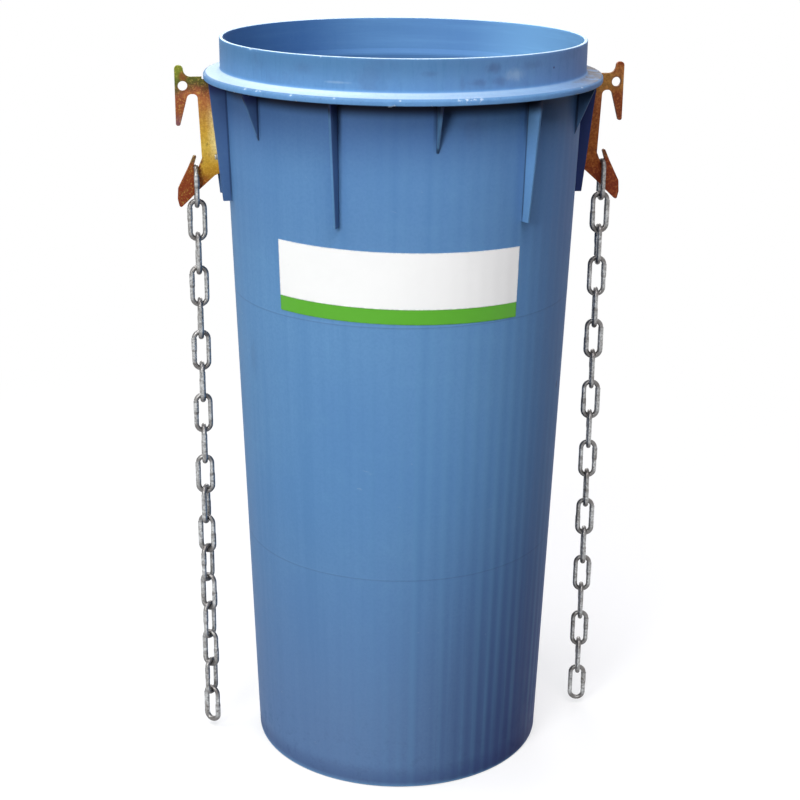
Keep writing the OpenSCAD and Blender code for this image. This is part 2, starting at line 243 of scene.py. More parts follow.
def thicken(bm, depth):
    # the flat face becomes a plate, from y = 0 to depth
    made = bmesh.ops.extrude_face_region(bm, geom=bm.faces[:])["geom"]
    bmesh.ops.translate(bm, vec=(0, depth, 0), verts=[v for v in made if isinstance(v, bmesh.types.BMVert)])
    bmesh.ops.recalc_face_normals(bm, faces=bm.faces)


def softenEdges(bm, width, angle=35):
    # bevels every edge whose faces turn by more than the angle, in degrees
    edges = [e for e in bm.edges if e.is_manifold and e.calc_face_angle(0) > math.radians(angle)]
    bmesh.ops.bevel(bm, geom=edges, offset=width, offset_type="OFFSET", segments=2, profile=0.5,
                    affect="EDGES", material=-1, clamp_overlap=False)


def joinInto(target, source):
    # adds one mesh to another and frees it
    mesh = bpy.data.meshes.new("joined")
    source.to_mesh(mesh)
    source.free()
    target.from_mesh(mesh)
    bpy.data.meshes.remove(mesh)


def finishPiece(bm, name, material, body=root, replaced=(), angle=32, weighted=False):
    # to metres, smooth up to the angle, then tied to its body and the nodes that it replaces
    bmesh.ops.scale(bm, vec=(0.001, 0.001, 0.001), verts=bm.verts)
    bmesh.ops.remove_doubles(bm, verts=bm.verts, dist=1e-6)
    bmesh.ops.recalc_face_normals(bm, faces=bm.faces)
    mesh = bpy.data.meshes.new(name)
    bm.to_mesh(mesh)
    bm.free()
    mesh.shade_smooth()
    mesh.set_sharp_from_angle(angle=math.radians(angle))
    mesh.materials.append(material)
    piece = bpy.data.objects.new(name, mesh)
    bpy.context.scene.collection.objects.link(piece)
    if weighted:
        piece.modifiers.new("flat faces", "WEIGHTED_NORMAL").keep_sharp = True
    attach(piece, body)
    if replaced:
        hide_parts(*replaced)


# the tube, in millimetres and degrees
tube = {"height": 1075, "outletR": 219.5, "inletR": 254.3, "wall": 6, "footRound": 2,
        "flangeOut": 27.2, "flangeThick": 9, "lipRound": 4, "lipUnderRound": 1.5, "flangeRise": 1.5,
        "collarHeight": 48, "collarOut": 3.7, "collarThick": 5, "rimRound": 1.5, "collarFillet": 6,
        "stepHeight": 7, "boreDraft": 2.6, "stepRound": 2.5, "steps": 720,
        "ringLines": (342, 718), "ringHigh": 0.15, "ringTall": 1.4, "flutes": 72, "fluteDepth": 0.07, "sway": 0.10,
        "inset": 2.5, "ribThick": 4, "ribStations": 12, "shortRib": 65, "longRib": 165, "longRibFoot": 13.4,
        "bracketRibAngle": 6.4, "ribSoft": 0.9, "seatOut": 1, "seatSoft": 0.5, "legHeight": 132, "flangeGap": 0.6,
        "seed": 5, "smallNicks": 46}
flangeZ = tube["height"] - tube["collarHeight"] - tube["flangeThick"]
lipZ = flangeZ + tube["flangeThick"]
flangeR = tube["inletR"] + tube["flangeOut"]
collarR = tube["inletR"] + tube["collarOut"]
boreR = collarR - tube["collarThick"]
taper = (tube["inletR"] - tube["outletR"]) / flangeZ

# worn places on the edges: angle from the front in degrees, which edge, length, depth
nicks = [(-61.7, "rim", 7, 1.3), (-58.4, "rim", 3, 0.8), (56.9, "rim", 3, 1.2), (24, "rim", 2.5, 0.5),
         (-13.7, "under", 4, -1.3), (-12.6, "under", 2.5, 0.9), (-57.8, "lip", 4, 0.9), (-53.3, "lip", 3, 1.1),
         (-41.2, "lip", 3.5, 0.8), (-39.5, "under", 3, 0.6), (4.5, "lip", 5, 0.5), (8, "lip", 4, 0.6),
         (10.5, "lip", 4, 0.5), (48, "lip", 5, 0.7), (150, "rim", 6, 1.0), (-120, "lip", 6, 1.0), (118, "lip", 5, 0.9)]


def wallR(z):
    return tube["outletR"] + taper * z


def smooth(x):
    x = max(0.0, min(1.0, x))
    return x * x * (3 - 2 * x)


def flute(angle, z):
    # the mould's facets leave faint upright flutes in the wall, in millimetres
    slow = noise.noise(Vector((math.cos(angle) * 2.2, math.sin(angle) * 2.2, z / 900)))
    wave = tube["fluteDepth"] * math.cos(tube["flutes"] * angle) * (1 + 1.2 * slow) + tube["sway"] * slow
    return wave * smooth(z / 50) * smooth((flangeZ - z) / 90)


def tubeSection():
    # the wall's outline, up the outside and down to the step inside
    t = tube
    outside = [(t["outletR"] - t["wall"], 0, t["footRound"] / 2), (t["outletR"], 0, t["footRound"])]
    heights = [12, 30, 60, 150, 870, 930, 975, 1000]
    for z in t["ringLines"]:
        half = t["ringTall"] / 2
        heights += [z - 60, z - half - 1.5, z - half, z, z + half, z + half + 1.5, z + 60]
    outside += [(wallR(z) + (t["ringHigh"] if z in t["ringLines"] else 0), z, 0) for z in sorted(heights)]
    return outside + [
        (t["inletR"], flangeZ, t["footRound"]),
        (flangeR, flangeZ, t["lipUnderRound"]),
        (flangeR, lipZ, t["lipRound"]),
        (collarR, lipZ + t["flangeRise"], t["collarFillet"]),
        (collarR, t["height"] - 12, 0), (collarR, t["height"] - 5, 0), (collarR, t["height"], t["rimRound"]),
        (boreR, t["height"], t["rimRound"]), (boreR, t["height"] - 5, 0),
        (boreR - t["boreDraft"], lipZ + t["flangeRise"], t["stepRound"]),
        (t["inletR"] - t["wall"], lipZ + t["flangeRise"] - t["stepHeight"], t["stepRound"])]


def ribPlate(angle, long):
    # short ribs end on the wall, long ones stand out from it at their feet
    t = tube
    footZ = flangeZ - (t["longRib"] if long else t["shortRib"])
    foot = [(wallR(footZ) - t["wall"] / 2, footZ, 0), (wallR(footZ) + (t["longRibFoot"] if long else 0.2), footZ, 0)]
    top = [(flangeR - t["inset"], flangeZ, 0), (flangeR - t["inset"], flangeZ + t["flangeThick"] / 2, 0),
           (t["inletR"] - t["wall"] / 2, flangeZ + t["flangeThick"] / 2, 0)]
    bm = outlineFace(foot + top)
    thicken(bm, t["ribThick"])
    softenEdges(bm, t["ribSoft"])
    bmesh.ops.translate(bm, vec=(0, -t["ribThick"] / 2, 0), verts=bm.verts)
    bmesh.ops.rotate(bm, cent=(0, 0, 0), matrix=Matrix.Rotation(math.radians(angle - 90), 3, "Z"), verts=bm.verts)
    return bm


def bracketSeat(turn):
    # the flat block that a bracket's leg is bolted to
    t = tube
    footZ = flangeZ - t["legHeight"]
    halfWide = wallR(footZ) * math.sin(math.radians(t["bracketRibAngle"]))
    deep, tall = t["wall"] / 2 + t["seatOut"], t["legHeight"] - t["flangeGap"]
    bm = bmesh.new()
    bmesh.ops.create_cube(bm, size=1)
    bmesh.ops.scale(bm, vec=(deep, 2 * halfWide, tall), verts=bm.verts)
    bmesh.ops.translate(bm, vec=(deep / 2 - t["wall"] / 2, 0, tall / 2), verts=bm.verts)
    softenEdges(bm, t["seatSoft"])
    place = (Matrix.Rotation(math.radians(turn), 4, "Z") @ Matrix.Translation((wallR(footZ), 0, footZ))
             @ Matrix.Rotation(math.atan(taper), 4, "Y"))
    bmesh.ops.transform(bm, matrix=place, verts=bm.verts)
    return bm


def makeTube(material):
    bm = outlineFace(tubeSection())
    bmesh.ops.delete(bm, geom=bm.faces[:], context="FACES_ONLY")
    bmesh.ops.spin(bm, geom=bm.verts[:] + bm.edges[:], cent=(0, 0, 0), axis=up, dvec=(0, 0, 0),
                   angle=2 * math.pi, steps=tube["steps"], use_merge=True)
    wear = bm.verts.layers.float.new("wear")
    rng = random.Random(tube["seed"])
    marks = [(math.radians(a), edge, size, depth) for a, edge, size, depth in nicks]
    marks += [(rng.uniform(-math.pi, math.pi), rng.choice(("lip", "lip", "under", "rim")), rng.uniform(1.5, 5),
               rng.uniform(0.15, 0.55)) for _ in range(tube["smallNicks"])]
    # each edge's marks sit on the edge and bite toward a core inside it
    cores = {"lip": (flangeR - 4.5, lipZ - 4.5), "under": (flangeR - 4.5, flangeZ + 4.5),
             "rim": (collarR - 2.5, tube["height"] - 3)}
    edges = {"lip": (flangeR - 1.2, lipZ - 1.2), "under": (flangeR - 0.4, flangeZ + 0.4),
             "rim": (collarR - 1, tube["height"] - 0.5)}
    for v in bm.verts:
        angle = math.atan2(v.co.x, -v.co.y)
        radius = math.hypot(v.co.x, v.co.y)
        z = v.co.z
        if 0 < z < flangeZ and radius > wallR(z) - 2:
            radius += flute(angle, z)
        if z > flangeZ - 1 and radius > boreR + 1:
            for markAngle, edge, size, depth in marks:
                turn = (angle - markAngle + math.pi) % (2 * math.pi) - math.pi
                if abs(turn) * radius > 3 * size:
                    continue
                edgeR, edgeZ = edges[edge]
                off = (turn * radius) ** 2 / size ** 2 + ((radius - edgeR) ** 2 + (z - edgeZ) ** 2) / 5
                bite = math.exp(-off * 1.6)
                if bite > 0.03:
                    coreR, coreZ = cores[edge]
                    into = Vector((coreR - radius, coreZ - z)).normalized() * depth * bite
                    radius, z = radius + into[0], z + into[1]
                    v[wear] = min(1.0, v[wear] + bite)
        v.co = Vector((radius * math.sin(angle), -radius * math.cos(angle), z))
    half, third = tube["ribStations"] // 2, tube["ribStations"] // 4
    for i in range(tube["ribStations"]):
        angle = i * 360 / tube["ribStations"]
        if i % half == third:
            for side in (-1, 1):
                joinInto(bm, ribPlate(angle + side * tube["bracketRibAngle"], True))
        else:
            joinInto(bm, ribPlate(angle, i % half in (1, half - 1)))
    for turn in (0, 180):
        joinInto(bm, bracketSeat(turn))
    finishPiece(bm, "tubeShell", material, replaced=["chute_tube"], angle=38)


tubeLook = {"pale": (105, 151, 197), "plain": (97, 143, 194), "deep": (86, 133, 184), "foot": (104, 118, 160),
            "fadedAndLit": (180, 200, 210), "frost": (84, 122, 158), "rim": (190, 214, 228), "hand": (57, 104, 142),
            "dust": (120, 114, 108), "grime": (64, 66, 100), "fresh": (200, 212, 220), "inner": (112, 162, 204),
            "inside": (42, 82, 138), "corner": (15, 13, 28), "dusk": (48, 58, 112), "under": (44, 62, 126),
            "shade": (84, 112, 172), "edge": (118, 168, 220), "rough": 0.52, "ior": 1.5, "shine": 0.11}

# marks on the outside: angle from the front, height, half width in degrees, half height in mm, amount, tone
spots = [(16, 1061, 2.6, 7, 0.36, "grime"), (11.5, 1043.5, 3.0, 5, 0.3, "grime"), (18.3, 1044, 2.6, 6, 0.3, "grime"),
         (-2.8, 1056, 2.2, 4, 0.22, "grime"), (23.5, 1051, 3.6, 8, 0.24, "fadedAndLit"), (30, 1061, 5, 6, 0.2, "grime"),
         (39.8, 1054, 0.4, 1.5, 1.0, "grime"), (6.5, 1043, 0.9, 11, 0.2, "grime"), (-29, 1043, 4, 1.6, 0.2, "fadedAndLit"),
         (-40.4, 1058, 3, 7, 0.16, "grime"), (61.5, 586, 0.7, 6, 0.9, "grime"), (11, 988, 4, 20, 0.15, "grime"),
         (-70, 640, 3, 30, 0.12, "grime"), (150, 1050, 6, 8, 0.4, "grime"), (-160, 600, 5, 60, 0.15, "grime"),
         (120, 1056, 5, 4, 0.35, "fadedAndLit")]


def tubeMaterial():
    look = tonesOf(tubeLook)
    material, wire = newMaterial("moulded polyethylene")
    place = wire.add("TexCoord", {}, {}, 3)
    x = wire.add("SeparateXYZ", {}, {0: place})
    outs = x.socket.node.outputs
    y, z = Wire(wire.tree, outs[1]), Wire(wire.tree, outs[2])
    turn = wire.sum("ARCTAN2", x, -y)          # 0 at the front, positive to the right
    radius = wire.sum("SQRT", x * x + y * y)
    broad = noiseOn(wire, place, 2.6, 4, 0.55)
    upright = wire.add("CombineXYZ", {}, {0: x / radius * 9.0, 1: y / radius * 9.0, 2: z * 0.8})
    streak = noiseOn(wire, upright, 1.6, 5, 0.62)
    level = wire.add("CombineXYZ", {}, {0: x * 3.0, 1: y * 3.0, 2: z * 46.0})
    rings = noiseOn(wire, level, 1.0, 5, 0.62)
    fine = noiseOn(wire, place, 1100, 2)
    mottle = noiseOn(wire, place, 38, 4, 0.6)
    speckle = noiseOn(wire, place, 240, 4, 0.65)

    flangeFoot, flangeTop, tubeTop = flangeZ / 1000, lipZ / 1000, tube["height"] / 1000     # metres from here on
    collarEdge, flangeEdge = collarR / 1000, flangeR / 1000
    side = x / radius
    rightSide = side.step(-0.5, 0.8)
    notBehind = 1 - turn.step(2.0, 2.9)

    # the wall: faint upright drifts, fine cloudy mottling, greyer towards the foot; painted shade low down and on the
    # right side, and painted highlights on the flute crests
    color = broad.step(0.3, 0.7).blend(look["plain"], look["pale"])
    color = (streak.step(0.38, 0.75) * 0.5).blend(color, look["deep"])
    color = (mottle.step(0.5, 0.8) * 0.2).blend(color, look["inner"])
    color = (speckle.step(0.42, 0.62) * 0.28).blend(color, look["deep"])
    color = (rings.step(0.55, 0.8) * 0.16).blend(color, look["inner"])
    color = ((1 - z.step(0.02, 0.52)) * (0.25 + 0.4 * broad) * (1 - 0.5 * rightSide)).blend(color, look["foot"])
    # painted shade: the lower right of the wall darkened, and the whole right side shaded
    low = (1 - z.step(0.05, 0.6)) * turn.step(-0.45, 0.8) * notBehind
    color = (low * 0.85).blend(color, look["dusk"])
    color = (turn.step(0.1, 1.2) * notBehind * 0.4).blend(color, look["shade"])
    # painted highlight on the flute crests across the front and right side
    crests = wire.sum("COSINE", turn * tube["flutes"]) * 0.5 + 0.5
    fluteHighlight = crests * turn.step(-0.9, 0.3) * (1 - turn.step(1.6, 2.2))
    color = (fluteHighlight * streak.step(0.3, 0.7) * 0.34).blend(color, look["inner"])
    # a darker band just above the bottom edge, and painted shade low on the right side
    darkFoot = (z.step(0.004, 0.009) * (1 - z.step(0.012, 0.040))
           + 1.1 * turn.step(0.1, 0.9) * (1 - turn.step(2.2, 2.9)) * (1 - z.step(0.02, 0.12)))
    color = (darkFoot * 0.35).blend(color, look["dusk"])
    # the bottom edge's last few millimetres paler: wear and a painted highlight
    color = ((1 - z.step(0.0025, 0.0042)) * 0.75).blend(color, look["edge"])
    splash = (1 - z.step(0.0, 0.16)) * noiseOn(wire, place, 60, 4, 0.6).step(0.5, 0.7)
    color = (splash * 0.12).blend(color, look["grime"])
    scuffPlace = wire.add("CombineXYZ", {}, {0: turn * 6.0, 1: z * 60.0})
    scuff = noiseOn(wire, scuffPlace, 1.0, 6, 0.7, 0.4).step(0.66, 0.75) * (1 - z.step(0.9, 1.0))
    color = (scuff * 0.3).blend(color, look["fadedAndLit"])
    for line in tube["ringLines"]:             # faint dark lines round the wall
        off = wire.sum("ABSOLUTE", z - line / 1000)
        color = ((1 - off.step(0.0003, 0.0014)) * 0.2).blend(color, look["grime"])

    # painted shade under the flange: the upper wall darkened towards it, a near-black band beneath it, the corners
    # beside the ribs, the creases at their feet, the ribs' upper parts and one face of each, and the bracket seats
    wallOut = z * taper + tube["outletR"] / 1000
    proud = radius - wallOut
    sideways = wire.sum("ABSOLUTE", side)
    below = 1 - z.step(flangeFoot + 0.0002, flangeFoot + 0.0014)
    onWall = 1 - z.step(flangeFoot - 0.0005, flangeFoot + 0.0005)
    onRib = proud.step(0.0012, 0.0026) * onWall
    farTurn = turn.step(0.55, 0.8) * (1 - turn.step(2.2, 2.6))
    halfTurn = turn.step(0.0, 0.5) * (1 - turn.step(2.2, 2.6))
    # painted shade on the upper wall, deepening towards the flange and weaker on the right
    near = 0.14 * z.step(0.73, 0.86) + 0.38 * z.step(flangeFoot - 0.11, flangeFoot - 0.02) * (
        1 - 0.4 * halfTurn - 0.45 * farTurn)
    color = (near * below * (1 - onRib)).blend(color, look["under"])
    # painted shadow: a near-black band just under the flange
    corner = z.step(flangeFoot - 0.023, flangeFoot - 0.006) * below
    color = (corner * (0.95 - 0.4 * farTurn)).blend(color, look["corner"])
    # painted shade in the corners beside each rib under the flange
    beside = 1 - (1 - wire.sum("COSINE", turn * tube["ribStations"])).step(0.0, 0.07)
    color = (beside * onWall * (1 - onRib) * z.step(0.945, 0.995) * 0.5).blend(color, look["corner"])
    # painted shade along the creases at the ribs' feet
    crease = proud.step(0.0002, 0.0007) * (1 - proud.step(0.0022, 0.0038)) * onWall * z.step(0.84, 0.87)
    color = (crease * 0.62).blend(color, look["corner"])
    # painted shadow of the flange on the ribs' upper parts
    color = (onRib * z.step(0.92, 1.0) * 0.45).blend(color, look["corner"])
    # painted shade on one face of each rib
    lee = wire.sum("SINE", turn * tube["ribStations"]).step(0.03, 0.08) * (1 - sideways.step(0.9, 0.95))
    color = (onRib * lee * z.step(0.83, 0.84) * 0.5).blend(color, look["dusk"])
    # painted shade on the bracket seats, darker on the right
    seat = sideways.step(0.955, 0.975) * z.step(0.840, 0.846) * onRib
    color = (seat * (0.55 + 0.37 * rightSide)).blend(color, look["dusk"])

    # inside: painted shade over the bore, painted light on its right-hand wall, and rings rubbed by what falls through
    above = z.step(flangeTop - 0.008, flangeTop - 0.006)
    wallHere = (tube["outletR"] - tube["wall"] / 2) / 1000 + z * taper
    boreHere = (collarR - tube["collarThick"] / 2) / 1000
    limit = wallHere + above * (boreHere - wallHere)
    outer = (radius - limit).step(-0.0002, 0.0002)
    inside = 1 - outer
    rub = inside * rings.step(0.45, 0.72)
    color = (inside * 0.75).blend(color, look["inside"])
    # painted light on the right-hand inner wall
    innerLitRight = 0.28 * side.step(-0.5, 0.0) + 0.5 * side.step(0.5, 0.9)
    color = (inside * (innerLitRight + rings.step(0.42, 0.7) * (0.08 + 0.3 * innerLitRight))).blend(color, look["inner"])

    # the flange's flat top faded pale and carrying a painted highlight, strongest on the left; its outer rounding
    # darker, more so on the left
    leftSide = (1 - turn.step(-0.9, 1.1)) * turn.step(-3.0, -1.8)
    frost = speckle.step(0.25, 0.62)
    flat = (z.step(flangeTop - 0.0012, flangeTop - 0.0005) * (1 - z.step(flangeTop + 0.0042, flangeTop + 0.0060))
            * radius.step(collarEdge + 0.0001, collarEdge + 0.0006)
            * (1 - radius.step(flangeEdge - 0.0045, flangeEdge - 0.0025)))
    rounding = z.step(flangeTop - 0.0042, flangeTop - 0.0012) * radius.step(flangeEdge - 0.0055, flangeEdge - 0.0030)
    # painted highlight on the flat top, together with its fading
    color = (flat * (0.2 + 0.72 * leftSide) * (0.8 + 0.2 * frost)).blend(color, look["fadedAndLit"])
    color = ((1 - flat) * rounding * (0.5 + 0.35 * leftSide) * (0.7 + 0.3 * frost)).blend(color, look["frost"])
    lip = radius.step(collarEdge + 0.010, collarEdge + 0.016) * z.step(0.996 * flangeTop - 0.005, flangeTop)
    cutPlace = wire.add("CombineXYZ", {}, {0: turn * 70.0, 1: z * 420.0})
    cuts = lip * noiseOn(wire, cutPlace, 1.0, 4, 0.75).step(0.64, 0.70)
    color = (cuts * 0.4).blend(color, look["fresh"])
    nicked = lip * noiseOn(wire, place, 330, 3, 0.6).step(0.65, 0.70)
    color = (nicked * 0.6).blend(color, look["grime"])
    patch = lip * turn.step(0.05, 0.09) * (1 - turn.step(0.17, 0.21))
    color = (patch * speckle.step(0.50, 0.66) * 0.5).blend(color, look["fresh"])
    dusty = z.step(flangeTop - 0.001, flangeTop) * radius.step(collarEdge + 0.0005, collarEdge + 0.003)
    dusty = dusty * turn.step(0.62, 1.25) * (1 - turn.step(1.75, 2.2))
    dust = dusty * noiseOn(wire, place, 55, 5, 0.7).step(0.30, 0.58)
    color = (dust * 0.92).blend(color, look["dust"])

    # the collar: smudged and scuffed by hands and by the section above
    collar = z.step(flangeTop + 0.004, flangeTop + 0.010) * (radius - boreHere).step(-0.0002, 0.0002)
    hand = (1 - 0.5 * turn.step(0.1, 0.5)) * (1 - turn.step(0.45, 0.9)) * turn.step(-2.9, -2.0)
    upper = 0.32 + 0.3 * z.step(flangeTop + 0.012, tubeTop - 0.006)
    color = (collar * hand * upper).blend(color, look["hand"])
    color = (collar * (0.08 + 0.2 * rightSide)).blend(color, look["foot"])
    drawn = noiseOn(wire, stretched(wire, place, (150, 150, 26)), 1.0, 4, 0.65)
    color = (collar * drawn.step(0.5, 0.72) * 0.2).blend(color, look["hand"])
    ragged = noiseOn(wire, stretched(wire, place, (70, 70, 38)), 1.0, 5, 0.7, 0.8)
    for spotTurn, spotZ, wide, tall, amount, tone in spots:
        across = (turn - math.radians(spotTurn)) / math.radians(wide)
        upward = (z - spotZ / 1000) / (tall / 1000)
        away = wire.sum("SQRT", across * across + upward * upward)
        spot = (1 - (away + (ragged - 0.5) * 2.2).step(0.1, 1.4)) * amount
        color = (spot * outer).blend(color, look[tone])
    stain = collar * noiseOn(wire, place, 17, 4, 0.6, 0.4).step(0.5, 0.74)
    color = (stain * 0.2).blend(color, look["grime"])
    # the rim's top paler: worn cut edge and a painted highlight
    rim = z.step(tubeTop - 0.0008, tubeTop - 0.0002) * (radius - boreHere).step(-0.0030, -0.0020)
    color = (rim * (0.6 + 0.4 * frost)).blend(color, look["rim"])

    # chips and burrs show fresh plastic
    wear = wire.add("Attribute", {"attribute_name": "wear"}, {}, 2)
    color = ((wear * 1.4 * speckle.step(0.3, 0.6)).step(0.3, 0.9) * 0.5).blend(color, look["fresh"])
    rough = tubeLook["rough"] + mottle * 0.12 + dust * 0.2 + rub * 0.1 + splash * 0.15 - rounding * 0.16
    height = fine * 0.25 + mottle * 0.8 + streak + speckle * (rounding + patch) * 1.2 - nicked * 1.5
    linkShader(material, {"Base Color": color, "Roughness": rough, "IOR": tubeLook["ior"],
                          "Specular IOR Level": tubeLook["shine"]}, (height, 0.00009))
    return material


# the label's two films, in millimetres; wide and middle are degrees round the tube
label = {"foot": 722, "height": 99, "stripe": 21, "wide": 82, "middle": -11.5, "film": 0.3, "glue": 0.1,
         "lift": 1.0, "tilt": 5.5, "columns": 164, "whiteRows": 24, "stripeRows": 8}
# each film's colour and its dirt's
filmLook = {"white": ((0.985, 0.985, 0.98), srgb(178, 184, 190)), "green": (srgb(88, 170, 38), srgb(60, 100, 50)),
            "rough": 0.30, "ior": 1.48}


def makeFilm(name, z0, z1, material, replaced, rows):
    # a film from height z0 to z1, bent round the wall and stuck on slightly askew
    wide = math.radians(label["wide"])
    bm = bmesh.new()
    bmesh.ops.create_grid(bm, x_segments=label["columns"], y_segments=rows, size=0.5)
    edge = bm.verts.layers.float.new("edge")
    arc = wallR(z0) * wide
    for v in bm.verts:
        fromEdge = min((0.5 - abs(v.co.x)) * arc, (0.5 - abs(v.co.y)) * (z1 - z0))
        v[edge] = fromEdge
        angle = math.radians(label["middle"]) + v.co.x * wide
        z = z0 + (v.co.y + 0.5) * (z1 - z0) + label["lift"] - label["tilt"] * v.co.x
        radius = wallR(z) + label["glue"] + flute(angle, z)
        v.co = Vector((radius * math.sin(angle), -radius * math.cos(angle), z))
    bmesh.ops.recalc_face_normals(bm, faces=bm.faces)
    made = bmesh.ops.extrude_face_region(bm, geom=bm.faces[:])["geom"]
    for v in made:
        if isinstance(v, bmesh.types.BMVert):
            out = Vector((v.co.x, v.co.y, 0)).normalized()
            v.co += out * label["film"]
    finishPiece(bm, name, material, replaced=[replaced], angle=40)


def filmMaterial(tone):
    color, dirty = filmLook[tone]
    material, wire = newMaterial(tone + " film")
    place = wire.add("TexCoord", {}, {}, 3)
    edge = wire.add("Attribute", {"attribute_name": "edge"}, {}, 2)
    cloud = noiseOn(wire, place, 14, 4, 0.55)
    speck = noiseOn(wire, place, 160, 4, 0.7)
    shade = cloud.step(0.35, 0.7).blend(color, tuple(0.96 * c for c in color))
    rim = (1 - edge.step(0.0, 2.2)) * speck.step(0.35, 0.6)
    shade = (rim * 0.45).blend(shade, dirty)
    shade = (speck.step(0.66, 0.76) * 0.14).blend(shade, dirty)
    rough = filmLook["rough"] + cloud * 0.14 + rim * 0.2
    height = cloud * 6.0 + speck * 0.35
    linkShader(material, {"Base Color": shade, "Roughness": rough, "IOR": filmLook["ior"]}, (height, 0.00006))
    return material


# brackets and chains, in millimetres; the arm's corners are out from the chain and down from its seat
bracket = {"thick": 5, "offset": 13, "chainOut": 40.7, "legHeight": 132, "legReach": 22, "bendR": 3,
           "flangeGap": 0.6, "edgeOut": 26, "hornHeight": 19, "hornWide": 11.5, "hornFlare": 1.7,
           "hornFillet": 10, "shoulderHeight": 3, "shoulderGap": 1.8, "holeD": 13.4, "holeIn": 10.9,
           "holeDrop": 9.5, "prongDrop": 65, "prongWide": 5.8, "prongRoot": 17.8, "slotDrop": 21.1,
           "slotWide": 13.3, "slotRound": 6.4, "prongRound": 2.7, "seatOut": 1, "hookDrop": 123.5,
           "neckIn": 9, "neckHeight": 12, "mouth": 7.4, "tipWide": 4.8, "tipHeight": 16.5,
           "arm": [(11.2, 1, 6), (26, 30, 6), (27, 46, 3), (24, 59.5, 3), (7.6, 44, 3), (-1.2, 35, 6),
                   (-26.6, 12.6, 3)], "edgeSoft": 0.45}
chain = {"wire": 7, "length": 49, "wide": 14, "gap": 0.3, "links": 18, "sides": 14, "bendSteps": 12,
         "leftTwist": 40, "leftAfter": 9, "rightTwist": 14, "rightAfter": 1, "twistLinks": 4,
         "leftSeed": 11, "rightSeed": 23, "stations": [8, 12.5, 14.5, 16, 17.5, 19, 20.5, 22.5, 27],
         "weldWide": 2.1, "weldHigh": 0.06, "weldVary": 0.03}
chainR = tube["inletR"] + bracket["chainOut"]
seatZ = flangeZ - bracket["hookDrop"]
arcR = (chain["wide"] + chain["wire"]) / 2
straight = chain["length"] - chain["wide"]
linkStep = chain["length"] - chain["gap"]


def bracketCorners():
    # the plate's outline: up the tube's side, over the horn, then round prong, slot, hook seat and arm
    b = bracket
    footZ, topZ = flangeZ - b["legHeight"], flangeZ - b["flangeGap"]
    edgeR = chainR + b["edgeOut"]
    inner = lambda z: wallR(z) + b["seatOut"] + b["thick"] + b["bendR"]
    notchR = chain["wire"] / 2 + chain["gap"]
    notchZ = seatZ - arcR + math.sqrt((chain["wide"] / 2) ** 2 - (b["thick"] / 2) ** 2) - chain["gap"] + notchR
    notchRound = notchR * 0.998                # just short of meeting the next corner's
    prongIn, tipIn = edgeR - b["prongRoot"], chainR - b["neckIn"] + b["mouth"]
    shoulder = flangeZ + b["shoulderHeight"]
    hornRound, tipRound = (b["hornWide"] - 0.6) / 2, (b["tipWide"] - 0.6) / 2
    return [
        (inner(footZ), footZ, 0), (inner(topZ), topZ, 0),
        (flangeR + b["shoulderGap"], topZ, b["flangeGap"]), (flangeR + b["shoulderGap"], shoulder, b["flangeGap"]),
        (edgeR - b["hornWide"] - b["hornFlare"], shoulder, b["hornFillet"]),
        (edgeR - b["hornWide"], flangeZ + b["hornHeight"], hornRound),
        (edgeR, flangeZ + b["hornHeight"], hornRound),
        (edgeR, flangeZ - b["prongDrop"], b["prongRound"]),
        (edgeR - b["prongWide"], flangeZ - b["prongDrop"], b["prongRound"]),
        (prongIn, flangeZ - b["slotDrop"], b["slotRound"]),
        (prongIn - b["slotWide"], flangeZ - b["slotDrop"], b["slotRound"]),
        (chainR - b["neckIn"], seatZ + b["neckHeight"], notchR),
        (chainR - notchR, notchZ, 0), (chainR - notchR, notchZ - notchR, notchRound),
        (chainR + notchR, notchZ - notchR, notchRound), (chainR + notchR, notchZ, 0),
        (tipIn, seatZ + b["tipHeight"], tipRound), (tipIn + b["tipWide"], seatZ + b["tipHeight"], tipRound),
        *[(chainR + out, seatZ - down, rounding) for out, down, rounding in b["arm"]]]


